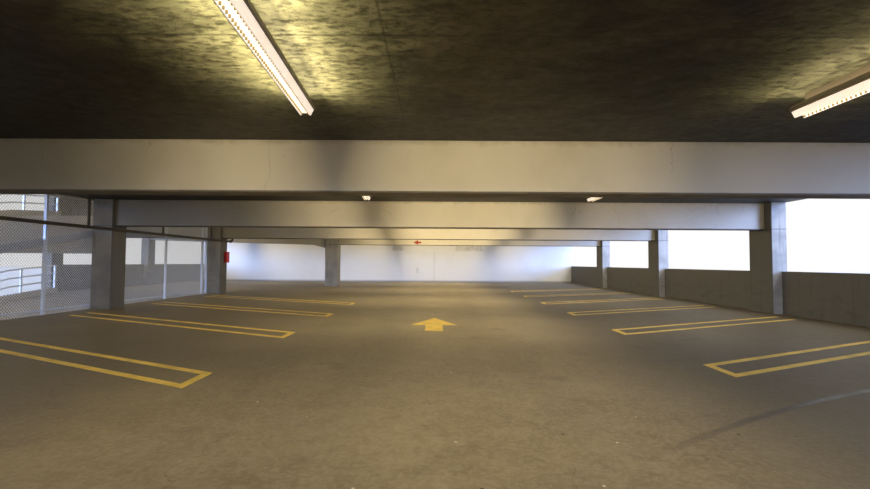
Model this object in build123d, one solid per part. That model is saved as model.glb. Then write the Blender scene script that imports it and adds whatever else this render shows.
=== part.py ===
from build123d import *
from math import atan2, degrees, radians, tan
import os

# A multi storey car park in reinforced concrete: a wide parking hall of clear span beams on each
# storey, and beside it a narrow bay with a straight ramp that joins each storey to the next.
# Lengths are in millimetres, X is across the aisle, Y is the way the aisle is driven, Z is up.

# Grid of frames
bay_length = 6100
bay_count = 6
clear_span = 16800
ramp_clear = 6000
storey_count = 3
storey_height = 2950

# Slabs
ground_slab_thickness = 150
deck_thickness = 130
ramp_thickness = 180
deck_lip = 120

# Beams
beam_width = 370
beam_depth = 680
ramp_beam_width = 300
ramp_beam_depth = 450
arris = 20

# Columns and piers
column_width = 530
column_depth = 560
pier_width = 400
pier_depth = 860
ramp_column_width = 400
turning_column_size = 660
turning_column_offset = 3200

# Haunch of the beam that crosses the turn to the ramp
haunch_drop = 180
haunch_length = 700
taper_rise = 190

# Walls
end_wall_thickness = 200
parapet_thickness = 150
parapet_height = 1070

# Ramp line
ramp_first_frame = 1
ramp_last_frame = 4
ease_length = 2000
ease_grade = 0.08
kerb_width = 200
kerb_height = 200

# Ramp guard rail
rail_count = 3
rail_size = 50
rail_post_size = 60
rail_post_spacing = 1500
guard_height = 1070

# Fence along the ramp
fence_post_size = 60
fence_rail_size = 42
fence_post_spacing = 2400
fence_last_post = 560
fence_bottom_gap = 80
fence_top_gap = 40
fence_clearance = 20

# Strip lights
light_length = 2440
light_width = 190
light_body_depth = 60
light_lens_depth = 55
light_lens_width = 150
light_channel_width = 41
light_channel_depth = 80
light_channel_inset = 100

# The rows of strip lights in the hall: how far from the columns, and how many degrees off the aisle
# they run. The distance is measured in the middle of the bay after the first ramp frame.
light_rows = ((7160, 3), (11780, 0))
light_row_bay = ramp_first_frame

# Strip lights under the ramps
ramp_light_count = 3
ramp_light_headroom = 2100

# Pipe along the hall side of the columns
pipe_diameter = 80
pipe_height = 2035
pipe_clearance = 20
pipe_bend_radius = 160
pipe_sides = 12
pipe_collar_length = 60
pipe_collar_wall = 10
pipe_start_run = 700
pipe_end_run = 600
hanger_spacing = 3050
hanger_first = 1850
hanger_diameter = 60
bracket_size = 60

# Cabinet on the last column of the aisle line
cabinet_depth = 110
cabinet_width = 250
cabinet_height = 430
cabinet_sill = 1190
cabinet_edge = 20

# Places worked out from the sizes above
front_overhang = column_depth / 2 + parapet_thickness
total_length = front_overhang + bay_length * bay_count + end_wall_thickness / 2
total_width = ramp_column_width + ramp_clear + column_width + clear_span + pier_width
front_edge = -total_length / 2
back_edge = total_length / 2
left_edge = -total_width / 2
right_edge = total_width / 2
ramp_left = left_edge + ramp_column_width
column_left = ramp_left + ramp_clear
column_right = column_left + column_width
column_line = (column_left + column_right) / 2
lip_edge = column_left - deck_lip
pier_left = right_edge - pier_width
turning_line = column_line + turning_column_offset
end_wall_face = back_edge - end_wall_thickness


def frame_y(index):
    """Y of the centre line of a frame, counted from the front."""
    return front_edge + front_overhang + index * bay_length


def floor_z(level):
    """Z of the top of a floor, where level 1 is the ground slab."""
    return ground_slab_thickness + (level - 1) * storey_height


def ceiling_z(level):
    """Z of the underside of the slab over a level."""
    return floor_z(level + 1) - deck_thickness


def soffit_z(level):
    """Z of the underside of the beams over a level."""
    return ceiling_z(level) - beam_depth


# Frames of the turn and the two ends of the ramps
turning_frame = bay_count - 1
ramp_foot_y = frame_y(ramp_first_frame) + beam_width / 2
ramp_head_y = frame_y(ramp_last_frame) - beam_width / 2


def block(x0, x1, y0, y1, z0, z1):
    """A plain box between two corners."""
    return Solid.make_box(x1 - x0, y1 - y0, z1 - z0, Plane(origin=(x0, y0, z0)))


def prism(points, plane, depth):
    """A closed outline pushed along the normal of a plane."""
    face = make_face(Polyline([plane.from_local_coords(p) for p in points], close=True))
    return extrude(face, depth, dir=plane.z_dir).solid()


def bar(start, end, radius):
    """A round bar from one point to another, drawn with flat sides."""
    along = Vector(*end) - Vector(*start)
    section = Plane(origin=start, x_dir=(1, 0, 0), z_dir=along) * RegularPolygon(radius, pipe_sides)
    return extrude(section, along.length, dir=along).solid()


def upright(x0, x1, y0, y1, z0, z1):
    """A column or pier with its four standing corners chamfered."""
    shaft = block(x0, x1, y0, y1, z0, z1)
    return chamfer(shaft.edges().filter_by(Axis.Z), arris).solid()


def cross_beam(x0, x1, frame, level):
    """A beam across the building with its two lower edges chamfered."""
    y = frame_y(frame)
    beam = block(x0, x1, y - beam_width / 2, y + beam_width / 2, soffit_z(level), ceiling_z(level))
    lower_edges = beam.edges().filter_by(Axis.X).sort_by(Axis.Z)[:2]
    return chamfer(lower_edges, arris).solid()


# Floors

def ground_slab():
    """The slab that the whole building stands on."""
    return block(left_edge, right_edge, front_edge, back_edge, 0, ground_slab_thickness)


def deck(level):
    """The plate of the parking hall under one level."""
    top = floor_z(level)
    return block(lip_edge, right_edge, front_edge, back_edge, top - deck_thickness, top)


def crossovers(level):
    """The two flat plates of the ramp bay, where cars turn at each end of the ramp."""
    top = floor_z(level)
    near = block(left_edge, lip_edge, front_edge, ramp_foot_y, top - deck_thickness, top)
    far = block(left_edge, lip_edge, ramp_head_y, back_edge, top - deck_thickness, top)
    return [near, far]


# Beams

def hall_beams(level):
    """The beams over one level, in the hall and over the flat ends of the ramp bay."""
    beams = []
    for frame in range(bay_count):
        start = column_right
        if frame == turning_frame:
            start = turning_line + turning_column_size / 2
        beams.append(cross_beam(start, pier_left, frame, level))
    for frame in range(bay_count):
        if frame <= ramp_first_frame or ramp_last_frame <= frame < turning_frame:
            beams.append(cross_beam(ramp_left, column_left, frame, level))
    return beams


def turning_beam(level):
    """The long beam over the turn: it is deepest at its haunch and thins towards the outside."""
    right = turning_line - turning_column_size / 2
    top = ceiling_z(level)
    bottom = soffit_z(level)
    outline = [
        (ramp_left, top),
        (ramp_left, bottom + taper_rise),
        (right - haunch_length, bottom),
        (right, bottom - haunch_drop),
        (right, top),
    ]
    plane = Plane.XZ.offset(-(frame_y(turning_frame) + beam_width / 2))
    return prism(outline, plane, beam_width)


# Columns

def aisle_columns(level):
    """The line of columns between the hall and the ramp bay, and the one set in at the turn."""
    columns = []
    for frame in range(turning_frame):
        y = frame_y(frame)
        columns.append(
            upright(
                column_left,
                column_right,
                y - column_depth / 2,
                y + column_depth / 2,
                floor_z(level),
                ceiling_z(level),
            )
        )
    half = turning_column_size / 2
    y = frame_y(turning_frame)
    columns.append(
        upright(
            turning_line - half, turning_line + half, y - half, y + half, floor_z(level), ceiling_z(level)
        )
    )
    return columns


def facade_piers(level):
    """The piers of the open side, deep along the aisle."""
    half = pier_depth / 2
    piers = []
    for frame in range(bay_count):
        y = frame_y(frame)
        piers.append(upright(pier_left, right_edge, y - half, y + half, floor_z(level), ceiling_z(level)))
    return piers


def ramp_columns():
    """The outer columns of the ramp bay: in storeys beside the plates, in one piece beside the ramps."""
    half = column_depth / 2
    columns = []
    for frame in range(bay_count):
        y = frame_y(frame)
        if ramp_first_frame < frame < ramp_last_frame:
            top = ramp_z(storey_count, y) + guard_height
            columns.append(
                upright(left_edge, ramp_left, y - half, y + half, ground_slab_thickness, top)
            )
            continue
        for level in range(1, storey_count + 1):
            columns.append(
                upright(left_edge, ramp_left, y - half, y + half, floor_z(level), ceiling_z(level))
            )
    return columns


# Ramps

def ramp_line(level, rise=0):
    """The bends of the ramp that climbs from a level, lifted by rise: gentle at both ends."""
    low = floor_z(level) + rise
    high = low + storey_height
    ease_rise = ease_length * ease_grade
    return [
        (ramp_foot_y, low),
        (ramp_foot_y + ease_length, low + ease_rise),
        (ramp_head_y - ease_length, high - ease_rise),
        (ramp_head_y, high),
    ]


def ramp_z(level, y):
    """Height of the ramp surface that climbs from a level, at one place along it."""
    line = ramp_line(level)
    for (y0, z0), (y1, z1) in zip(line, line[1:]):
        if y <= y1:
            return z0 + (z1 - z0) * (y - y0) / (y1 - y0)
    return line[-1][1]


def ramp_soffit_z(level, y):
    """Height of the underside of that ramp."""
    return ramp_z(level, y) - ramp_thickness


def ramp_band(level, x0, x1, under, over):
    """A band that follows the ramp, from under its surface to over it."""
    outline = ramp_line(level, over) + ramp_line(level, under)[::-1]
    return prism(outline, Plane.YZ.offset(x0), x1 - x0)


def ramp(level):
    """One ramp slab with its kerb on the outer side."""
    slab = ramp_band(level, ramp_left, lip_edge, -ramp_thickness, 0)
    kerb = ramp_band(level, ramp_left, ramp_left + kerb_width, 0, kerb_height)
    body = slab + kerb
    if level == 1:
        toe = ground_slab_thickness - ramp_thickness
        body = body - block(left_edge, right_edge, front_edge, back_edge, toe, ground_slab_thickness)
    return body.solid()


def ramp_beams():
    """The beams under the ramps, with a sloping top that the ramp lies on."""
    beams = []
    for level in range(1, storey_count + 1):
        for frame in range(ramp_first_frame + 1, ramp_last_frame):
            front = frame_y(frame) - ramp_beam_width / 2
            back = frame_y(frame) + ramp_beam_width / 2
            bottom = ramp_soffit_z(level, frame_y(frame)) - ramp_beam_depth
            outline = [
                (front, bottom),
                (back, bottom),
                (back, ramp_soffit_z(level, back)),
                (front, ramp_soffit_z(level, front)),
            ]
            beams.append(prism(outline, Plane.YZ.offset(ramp_left), ramp_clear))
    return beams


def ramp_rail(level):
    """Posts on the kerb of one ramp with rails that follow its slope."""
    middle = ramp_left + kerb_width / 2
    x0 = middle - rail_size / 2
    x1 = middle + rail_size / 2
    gap = (guard_height - kerb_height) / rail_count
    rail = None
    for number in range(1, rail_count + 1):
        top = kerb_height + number * gap
        band = ramp_band(level, x0, x1, top - rail_size, top)
        rail = band if rail is None else rail + band
    first = ramp_foot_y + rail_post_size
    last = ramp_head_y - rail_post_size
    spaces = round((last - first) / rail_post_spacing)
    half = rail_post_size / 2
    for number in range(spaces + 1):
        y = first + (last - first) * number / spaces
        foot = ramp_z(level, y - half) + kerb_height
        head = ramp_z(level, y) + guard_height - rail_size / 2
        post = block(middle - half, middle + half, y - half, y + half, foot, head)
        rail = rail + (post - ramp_band(level, ramp_left, ramp_left + kerb_width, 0, kerb_height))
    return rail.solid()


# Walls

def end_wall():
    """The closed wall at the far end, one lift for each storey."""
    walls = []
    for level in range(1, storey_count + 1):
        walls.append(
            block(left_edge, right_edge, end_wall_face, back_edge, floor_z(level), ceiling_z(level))
        )
    return walls


def parapets(level):
    """The parapets of one storey, standing on its floor between the columns and piers."""
    z0 = floor_z(level)
    z1 = z0 + parapet_height
    walls = []
    for frame in range(bay_count):
        start = frame_y(frame) + pier_depth / 2
        end = frame_y(frame + 1) - pier_depth / 2
        if frame == turning_frame:
            end = end_wall_face
        walls.append(block(right_edge - parapet_thickness, right_edge, start, end, z0, z1))
    for frame in range(bay_count):
        start = frame_y(frame) + column_depth / 2
        end = frame_y(frame + 1) - column_depth / 2
        if frame == turning_frame:
            end = end_wall_face
        if ramp_first_frame <= frame < ramp_last_frame:
            continue
        walls.append(block(left_edge, left_edge + parapet_thickness, start, end, z0, z1))
    front_end = column_right if level == 1 else pier_left
    walls.append(block(left_edge, front_end, front_edge, front_edge + parapet_thickness, z0, z1))
    return walls


def roof_side_parapets():
    """The parapets of the roof that run along the aisle."""
    z0 = floor_z(storey_count + 1)
    z1 = z0 + parapet_height
    inner_front = front_edge + parapet_thickness
    inner_back = back_edge - parapet_thickness
    gap_front = ramp_foot_y - parapet_thickness
    return [
        block(right_edge - parapet_thickness, right_edge, inner_front, inner_back, z0, z1),
        block(left_edge, left_edge + parapet_thickness, inner_front, gap_front, z0, z1),
        block(left_edge, left_edge + parapet_thickness, ramp_head_y, inner_back, z0, z1),
        block(lip_edge, lip_edge + parapet_thickness, ramp_foot_y, ramp_head_y, z0, z1),
    ]


def roof_cross_parapets():
    """The parapets of the roof that run across the building."""
    z0 = floor_z(storey_count + 1)
    z1 = z0 + parapet_height
    return [
        block(left_edge, right_edge, front_edge, front_edge + parapet_thickness, z0, z1),
        block(left_edge, right_edge, back_edge - parapet_thickness, back_edge, z0, z1),
        block(
            left_edge, lip_edge + parapet_thickness, ramp_foot_y - parapet_thickness, ramp_foot_y, z0, z1
        ),
    ]


# Fence

def fence(level):
    """Posts and rails of the fence along the ramp, on the lip of the deck."""
    x1 = column_left - fence_clearance
    x0 = x1 - fence_post_size
    start = ramp_foot_y
    end = ramp_head_y
    z0 = floor_z(level)
    top = ceiling_z(level) - fence_top_gap
    half = fence_post_size / 2
    places = [start + half, end - half]
    place = frame_y(ramp_last_frame) - fence_last_post
    while place > start + fence_post_size:
        places.append(place)
        place -= fence_post_spacing
    middle = (x0 + x1) / 2
    rail_half = fence_rail_size / 2
    bottom = z0 + fence_bottom_gap
    panel = block(middle - rail_half, middle + rail_half, start, end, bottom, bottom + fence_rail_size)
    panel = panel + block(middle - rail_half, middle + rail_half, start, end, top - fence_rail_size, top)
    for y in places:
        panel = panel + block(x0, x1, y - half, y + half, z0, top)
    return panel.solid()


# Lights

def light_places(level):
    """Where the strip lights of a level hang: the middle of each on the slab or ramp over it."""
    places = []
    for distance, turn in light_rows:
        for frame in range(bay_count):
            x = column_right + distance - (frame - light_row_bay) * bay_length * tan(radians(turn))
            y = frame_y(frame) + bay_length / 2
            places.append(Location((x, y, ceiling_z(level)), (0, 0, turn)))
    x = ramp_left + ramp_clear / 2
    for frame in range(bay_count):
        if frame < ramp_first_frame or frame >= ramp_last_frame:
            y = frame_y(frame) + bay_length / 2
            places.append(Location((x, y, ceiling_z(level))))
    start = ramp_foot_y + ease_length
    end = ramp_head_y - ease_length
    rise = ramp_z(level, end) - ramp_z(level, start)
    slope = degrees(atan2(rise, end - start))
    for number in range(ramp_light_count):
        y = start + (end - start) * (number + 0.5) / ramp_light_count
        z = ramp_soffit_z(level, y)
        way = floor_z(level) if level == 1 else ramp_z(level - 1, y)
        if z - way > ramp_light_headroom:
            places.append(Location((x, y, z), (slope, 0, 0)))
    return places


def light_housing():
    """One housing under its mounting channel, which meets the slab at the origin."""
    top = -light_channel_depth
    half = light_width / 2
    lens_half = light_lens_width / 2
    outline = [
        (-half, top - light_body_depth),
        (-half, top - light_body_depth / 2),
        (-lens_half, top),
        (lens_half, top),
        (half, top - light_body_depth / 2),
        (half, top - light_body_depth),
    ]
    body = prism(outline, Plane.XZ.offset(-light_length / 2), light_length)
    side = light_channel_width / 2
    end = light_length / 2 - light_channel_inset
    body = body + block(-side, side, -end, end, top, 0)
    return body.solid()


def light_lens():
    """The lens under that housing, narrower at its foot."""
    top = -light_channel_depth - light_body_depth
    half = light_lens_width / 2
    foot = half - light_lens_depth / 2
    outline = [
        (-half, top),
        (half, top),
        (foot, top - light_lens_depth),
        (-foot, top - light_lens_depth),
    ]
    return prism(outline, Plane.XZ.offset(-light_length / 2), light_length)


# Services

def pipe_run(level):
    """The pipe that runs past the columns, its rise at each end, and its hangers and brackets."""
    radius = pipe_diameter / 2
    x = column_right + pipe_clearance + radius
    z = floor_z(level) + pipe_height
    start = frame_y(ramp_first_frame) + pipe_start_run
    end = frame_y(ramp_last_frame) + pipe_end_run
    top = ceiling_z(level)
    bend = pipe_bend_radius
    run = bar((x, start + bend, z), (x, end - bend, z), radius)
    run = run + bar((x, start, z + bend), (x, start, top), radius)
    run = run + bar((x, end, z + bend), (x, end, top), radius)
    near = Plane(origin=(x, start + bend, z + bend), x_dir=(0, -1, 0), z_dir=(1, 0, 0))
    far = Plane(origin=(x, end - bend, z + bend), x_dir=(0, 0, -1), z_dir=(1, 0, 0))
    for plane in (near, far):
        section = plane * Pos(bend, 0) * Rot(X=90) * RegularPolygon(radius, pipe_sides)
        axis = Axis(plane.origin, plane.z_dir)
        run = run + revolve(section, axis, revolution_arc=90)
    collar = pipe_collar_length / 2
    for y in (start + bend, end - bend):
        run = run + bar((x, y - collar, z), (x, y + collar, z), radius + pipe_collar_wall)
    for y in (start, end):
        foot = z + bend - collar
        run = run + bar((x, y, foot), (x, y, foot + 2 * collar), radius + pipe_collar_wall)
    half = bracket_size / 2
    for frame in range(ramp_first_frame + 1, ramp_last_frame + 1):
        y = frame_y(frame)
        run = run + block(column_right, x, y - half, y + half, z - radius, z + radius)
    hanger = frame_y(ramp_first_frame) + hanger_first
    while hanger < frame_y(ramp_last_frame):
        run = run + bar((x, hanger, z), (x, hanger, top), hanger_diameter / 2)
        hanger += hanger_spacing
    return run.solid()


def extinguisher_cabinets():
    """A cabinet on the hall side of the last column of the line, on each storey."""
    y1 = frame_y(ramp_last_frame) + column_depth / 2 - arris
    cabinets = []
    for level in range(1, storey_count + 1):
        z0 = floor_z(level) + cabinet_sill
        x1 = column_right + cabinet_depth
        box = block(column_right, x1, y1 - cabinet_width, y1, z0, z0 + cabinet_height)
        front = box.faces().sort_by(Axis.X)[-1]
        cabinets.append(chamfer(front.edges(), cabinet_edge).solid())
    return cabinets


# Export

def write(name, solids):
    """One file for each named piece."""
    shape = solids[0] if len(solids) == 1 else Compound(children=solids)
    shape.label = name
    export_step(shape, os.path.join("parts", name + ".step"))


def level_name(level):
    """What the names of a level's pieces start with."""
    return "roof" if level > storey_count else "level_" + str(level)


def main():
    """Every piece, storey by storey, and then what runs through all storeys."""
    os.makedirs("parts", exist_ok=True)
    write("ground_slab", [ground_slab()])
    for level in range(2, storey_count + 2):
        name = level_name(level)
        write(name + "_deck", [deck(level)])
        write(name + "_crossovers", crossovers(level))
        write(name + "_beams", hall_beams(level - 1))
        write("ramp_to_" + name, [ramp(level - 1)])
    for level in range(1, storey_count + 1):
        name = level_name(level)
        write(name + "_aisle_columns", aisle_columns(level))
        write(name + "_facade_piers", facade_piers(level))
        write(name + "_parapets", parapets(level))
        write(name + "_fence", [fence(level)])
        write(name + "_light_housings", [light_housing().moved(place) for place in light_places(level)])
        write(name + "_light_lenses", [light_lens().moved(place) for place in light_places(level)])
        write(name + "_pipe_run", [pipe_run(level)])
    write("turning_beams", [turning_beam(level) for level in range(1, storey_count + 1)])
    write("ramp_columns", ramp_columns())
    write("ramp_beams", ramp_beams())
    write("ramp_rails", [ramp_rail(level) for level in range(1, storey_count + 1)])
    write("end_wall", end_wall())
    write("roof_side_parapets", roof_side_parapets())
    write("roof_cross_parapets", roof_cross_parapets())
    write("extinguisher_cabinets", extinguisher_cabinets())


main()
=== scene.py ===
"""Dresses a multi storey car park: finishes, markings, chain link, strip lights and the stage."""

import math

import bmesh
import bpy
from bpy.props import FloatProperty, FloatVectorProperty, IntProperty, PointerProperty
from mathutils import Euler, Matrix, Vector


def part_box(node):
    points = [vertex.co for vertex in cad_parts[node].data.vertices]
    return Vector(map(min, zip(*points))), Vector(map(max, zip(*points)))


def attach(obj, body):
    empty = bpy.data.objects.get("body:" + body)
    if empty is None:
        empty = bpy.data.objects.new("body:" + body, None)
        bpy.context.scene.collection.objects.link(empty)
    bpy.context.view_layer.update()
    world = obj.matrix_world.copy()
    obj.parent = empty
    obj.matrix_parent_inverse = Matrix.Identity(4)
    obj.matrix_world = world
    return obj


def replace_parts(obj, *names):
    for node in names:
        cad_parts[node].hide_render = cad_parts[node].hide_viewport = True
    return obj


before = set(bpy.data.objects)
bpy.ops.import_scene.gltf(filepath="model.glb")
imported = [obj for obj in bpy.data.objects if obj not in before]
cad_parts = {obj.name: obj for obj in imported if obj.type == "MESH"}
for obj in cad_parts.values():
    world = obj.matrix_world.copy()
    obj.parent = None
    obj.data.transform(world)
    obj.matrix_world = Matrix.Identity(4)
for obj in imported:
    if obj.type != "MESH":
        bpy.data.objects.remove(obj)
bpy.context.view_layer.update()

bl_info = {
    "name": "Multi storey car park",
    "version": (1, 0, 0),
    "blender": (4, 5, 0),
    "location": "3D View > Sidebar > Car park",
    "description": "Finishes, markings, chain link and strip lights of a multi storey car park",
    "category": "Object",
}

STOREYS = ("level_1", "level_2", "level_3")
UPPER_DECKS = ("level_2", "level_3", "roof")


# Places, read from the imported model


def solids_of(node):
    """The corners of each separate solid in a CAD node, in order across the building."""
    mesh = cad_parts[node].data
    leader = {}

    def root(key):
        while leader[key] != key:
            leader[key] = leader[leader[key]]
            key = leader[key]
        return key

    spots = [tuple(round(c, 4) for c in vertex.co) for vertex in mesh.vertices]
    for spot in spots:
        leader.setdefault(spot, spot)
    for face in mesh.polygons:
        first = root(spots[face.vertices[0]])
        for index in face.vertices[1:]:
            leader[root(spots[index])] = first
    groups = {}
    for spot in leader:
        groups.setdefault(root(spot), []).append(Vector(spot))
    return sorted(groups.values(), key=lambda group: tuple(middle_of(group)))


def middle_of(points):
    """The mean of some points."""
    return sum(points, Vector()) / len(points)


def box_of(points):
    """The lowest and the highest corner of some points."""
    return tuple(Vector(pick(point[i] for point in points) for i in range(3)) for pick in (min, max))


FLOOR = {"level_1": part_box("ground_slab")[1].z}
FLOOR.update((level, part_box(f"{level}_deck")[1].z) for level in UPPER_DECKS)
STOREY = FLOOR["level_3"] - FLOOR["level_2"]
BEAMS = [box_of(solid) for solid in solids_of("level_2_beams")]
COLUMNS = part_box("level_2_aisle_columns")
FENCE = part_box("level_2_fence")
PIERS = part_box("level_2_facade_piers")
FRAMES = sorted(round(middle_of(solid).y, 3) for solid in solids_of("level_2_facade_piers"))
BAY = FRAMES[2] - FRAMES[1]
# Heights over a storey's floor: the underside of its beams and of the slab over them
SOFFIT = min(low.z for low, high in BEAMS) - FLOOR["level_1"]
CEILING = max(high.z for low, high in BEAMS) - FLOOR["level_1"]
# The first and the last strip light of each row over the hall
HALL_LIGHTS = [
    middle_of(solid) for solid in solids_of("level_2_light_lenses") if middle_of(solid).x > COLUMNS[1].x
]
LIGHT_ROWS = [(row[0], row[-1]) for row in (HALL_LIGHTS[: len(FRAMES)], HALL_LIGHTS[len(FRAMES) :])]
# The line that cars follow across the hall, and the width between their tyres
AISLE_MIDDLE = 3.17
TYRE_TRACK = 1.56


# Values that the sidebar shows


def linear(screen):
    """A screen colour such as "c9c2ae" as linear red, green, blue and full alpha."""
    parts = [int(screen[i : i + 2], 16) / 255 for i in (0, 2, 4)]
    return tuple(((c + 0.055) / 1.055) ** 2.4 if c > 0.04045 else c / 12.92 for c in parts) + (1.0,)


def colour_value(name, description, screen):
    """A colour, from its screen value."""
    return FloatVectorProperty(
        name=name, description=description, subtype="COLOR", size=4, min=0, max=1, default=linear(screen)
    )


def length_value(name, description, default, low, high):
    """A length in metres."""
    return FloatProperty(
        name=name, description=description, default=default, min=low, max=high, unit="LENGTH"
    )


def amount_value(name, description, default):
    """A share or a strength."""
    return FloatProperty(name=name, description=description, default=default, min=0)


def angle_value(name, description, default, low, high):
    """An angle, from its value in degrees."""
    default, low, high = math.radians(default), math.radians(low), math.radians(high)
    return FloatProperty(
        name=name, description=description, default=default, min=low, max=high, subtype="ANGLE"
    )


class CarParkMarkings(bpy.types.PropertyGroup):
    """Sizes and colours of the painted lines and arrows."""

    line_width: length_value("Line width", "Width of a painted line", 0.1, 0.05, 0.3)
    film: length_value("Paint film", "Thickness of the paint", 0.003, 0.001, 0.01)
    stall_angle: angle_value("Stall angle", "Turn of the stalls from the aisle", 63, 45, 80)
    stalls_per_bay: IntProperty(
        name="Stalls per bay", description="Stalls between two frames", default=2, min=1, max=3
    )
    hairpin_width: length_value("Hairpin", "Width along the aisle of a mark's closed end", 0.64, 0.3, 1)
    aisle_left: length_value("Aisle left", "Where the marks on the ramp side start", 0.75, -2, 3)
    aisle_right: length_value("Aisle right", "Where the marks on the open side start", 6.5, 4, 9)
    left_start: length_value("Left start", "A ramp side mark's place past the second frame", 4.775, 0, 10)
    right_start: length_value("Right start", "An open side mark's place past that frame", 5.385, 0, 10)
    arrow_length: length_value("Arrow length", "Whole length of a floor arrow", 2.0, 1, 4)
    arrow_width: length_value("Arrow width", "Width of a floor arrow's head", 0.91, 0.4, 2)
    arrow_stem: length_value("Arrow stem", "Width of a floor arrow's stem", 0.33, 0.1, 1)
    arrow_setback: length_value("Arrow setback", "From the arrow's tip to the fourth frame", 1.76, 0, 5)
    sign_length: length_value("Sign length", "Whole length of a beam arrow", 0.4, 0.2, 1)
    sign_width: length_value("Sign width", "Width of a beam arrow's head", 0.22, 0.1, 0.5)
    sign_stem: length_value("Sign stem", "Width of a beam arrow's stem", 0.08, 0.02, 0.3)
    sign_tip: length_value("Sign tip", "Place of its tip across the hall", 2.0, -2, 8)
    sign_height: length_value("Sign height", "Height of its middle over the beam's foot", 0.145, 0.1, 0.6)
    yellow: colour_value("Yellow", "Line paint on the decks", "ecca63")
    red: colour_value("Red", "Paint of the arrow on a beam", "b5251f")


class CarParkFence(bpy.types.PropertyGroup):
    """Sizes of the chain link."""

    mesh_size: length_value("Mesh", "Side of one diamond", 0.05, 0.03, 0.15)
    wire: length_value("Wire", "Thickness of the wire: twice the real one, to show", 0.0085, 0.002, 0.01)
    zinc: colour_value("Zinc", "Weathered hot dip zinc", "d3dae6")


class CarParkLights(bpy.types.PropertyGroup):
    """The strip lights."""

    power: FloatProperty(
        name="Power", description="Light of each of a fitting's two sides", default=84, min=0, unit="POWER"
    )
    tilt: angle_value("Tilt", "How far below level each side shines", 13, 0, 60)
    first_bay: amount_value("First bay", "Share of the power left in its old tubes", 0.18)
    far_bays: amount_value("Far bays", "Times the power, for the new tubes past the fourth frame", 1.5)
    dim_tube: amount_value("Dim tube", "Share left in the second bay, on the open side", 0.34)
    upward: amount_value("Upward", "Share that leaks out over the housing", 0.42)
    lip_width: length_value("Lip width", "Width of a lens lip", 0.008, 0.002, 0.03)
    lip_height: length_value("Lip height", "Height of a lens lip", 0.022, 0.005, 0.05)
    rib_pitch: length_value("Rib pitch", "Distance between lens ribs", 0.045, 0.01, 0.1)
    rib_depth: length_value("Rib depth", "How far a lens rib stands out", 0.014, 0.001, 0.02)
    tube: colour_value("Tube", "Colour of the light", "ffecc2")
    core: colour_value("Core", "The lens under the tube", "fff6e2")
    side: colour_value("Side", "The lens beside the tube", "f6e6d8")
    rib: colour_value("Rib", "The ribs of the lens", "937b4c")
    # Painted shade: the housings' enamel is dark brown to stand for the shade on their sides
    enamel: colour_value("Enamel", "Baked enamel of the housings", "62594c")


class CarParkFinishes(bpy.types.PropertyGroup):
    """Colours of the concrete, the paint and the metal."""

    deck_light: colour_value("Deck, light", "Worn trowelled concrete", "a6987a")
    deck_dark: colour_value("Deck, dark", "Concrete darkened by tyres and oil", "7a6d52")
    soffit_light: colour_value("Soffit, light", "Formed concrete", "393324")
    soffit_dark: colour_value("Soffit, dark", "Sooted formed concrete", "0d0a05")
    # Painted light: the glow that the strip lights throw on the slab beside them
    soffit_lamp_glow: colour_value("Soffit, clean", "Formed concrete beside the strip lights", "6d6d54")
    beam_paint: colour_value("Beam paint", "Masonry paint on the beams", "ece2c8")
    beam_grime: colour_value("Beam grime", "Grime on the beams", "b6a988")
    # Soot and painted shade on the beams' undersides
    beam_underside_soot_and_shade: colour_value("Beam soot", "Soot under the beams", "6f6757")
    column: colour_value("Columns", "Bare cast concrete", "837e72")
    # Lighter than the columns: rain-washed concrete, and painted daylight on the piers
    pier: colour_value("Piers", "Cast concrete, washed by rain", "b4b2ae")
    # Painted shade on the faces that look toward the aisle
    shaded: colour_value("Sooted", "Cast concrete, sooted toward the aisle", "4d4b45")
    wall_paint: colour_value("Wall paint", "Masonry paint on the end wall", "dbdad6")
    wall_grime: colour_value("Wall grime", "Grime on the end wall", "c4c6c4")
    parapet: colour_value("Parapets", "Weathered cast concrete", "8f9094")
    pipe: colour_value("Pipe", "Paint of the pipe", "35312b")
    cabinet: colour_value("Cabinet", "Baked enamel of the cabinets", "a8231c")


class CarParkStage(bpy.types.PropertyGroup):
    """The camera, the floor and the studio light."""

    eye: FloatVectorProperty(
        name="Eye",
        description="Where the picture is taken from",
        default=(3.218, -12.193, 4.331),
        subtype="TRANSLATION",
    )
    pitch: angle_value("Pitch", "Camera's tilt above level", 2.24, -90, 90)
    turn: angle_value("Turn", "Camera's turn to the left", 0.24, -180, 180)
    roll: angle_value("Roll", "Camera's roll", 0.36, -45, 45)
    lens: FloatProperty(name="Lens", description="Focal length in millimetres", default=19.5, min=8, max=200)
    floor_side: length_value("Floor", "Side of the studio floor", 600, 50, 2000)
    floor_colour: colour_value("Floor colour", "Pale studio floor", "dcdcda")
    sky: colour_value("Sky light", "Soft light from all round", "dbe6ff")
    daylight: colour_value("Daylight", "Light that falls in at the sides", "9dbcff")
    open_side: amount_value("Open side", "Daylight from the open side", 7.6)
    ramp_side: amount_value("Ramp side", "Daylight from the ramp side", 6.0)
    key_power: amount_value("Key", "Strength of the soft key light", 1.6)


# Dirt, wear and painted shade

PALE_GRIT = linear("b9ae95")
PALE_SPECK = linear("e6dfcc")
DARK_SPECK = linear("2e281f")
OIL = linear("443c30")
STALL_DIRT_AND_SHADE = linear("4b4538")
RUBBER = linear("332c22")
FORM_SEAM = linear("0d0b07")
SCUFF = linear("8d877a")
PAINT_CRACK = linear("4a4336")
# Painted shade on the beams at both sides of the hall
BEAM_LEFT_SHADE_COLOUR = linear("504e4a")
BEAM_RIGHT_SHADE_COLOUR = linear("64626f")
SPLASH = linear("5d5548")
DARK_PATCH = linear("7d7564")
CEMENT_CLOUD = linear("4f4d48")
RAIN_RUN = linear("3b3934")
AIR_HOLE = linear("2b2a27")
BUMPER_RUB = linear("26241f")
SPANGLE = linear("aab2be")
ZINC_BLOOM = linear("dcdfe0")
DUST = linear("5f5748")
RUST = linear("6b3c20")
AMBER = linear("d9b25c")
LINE_DIRT = linear("8a7a45")
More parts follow.
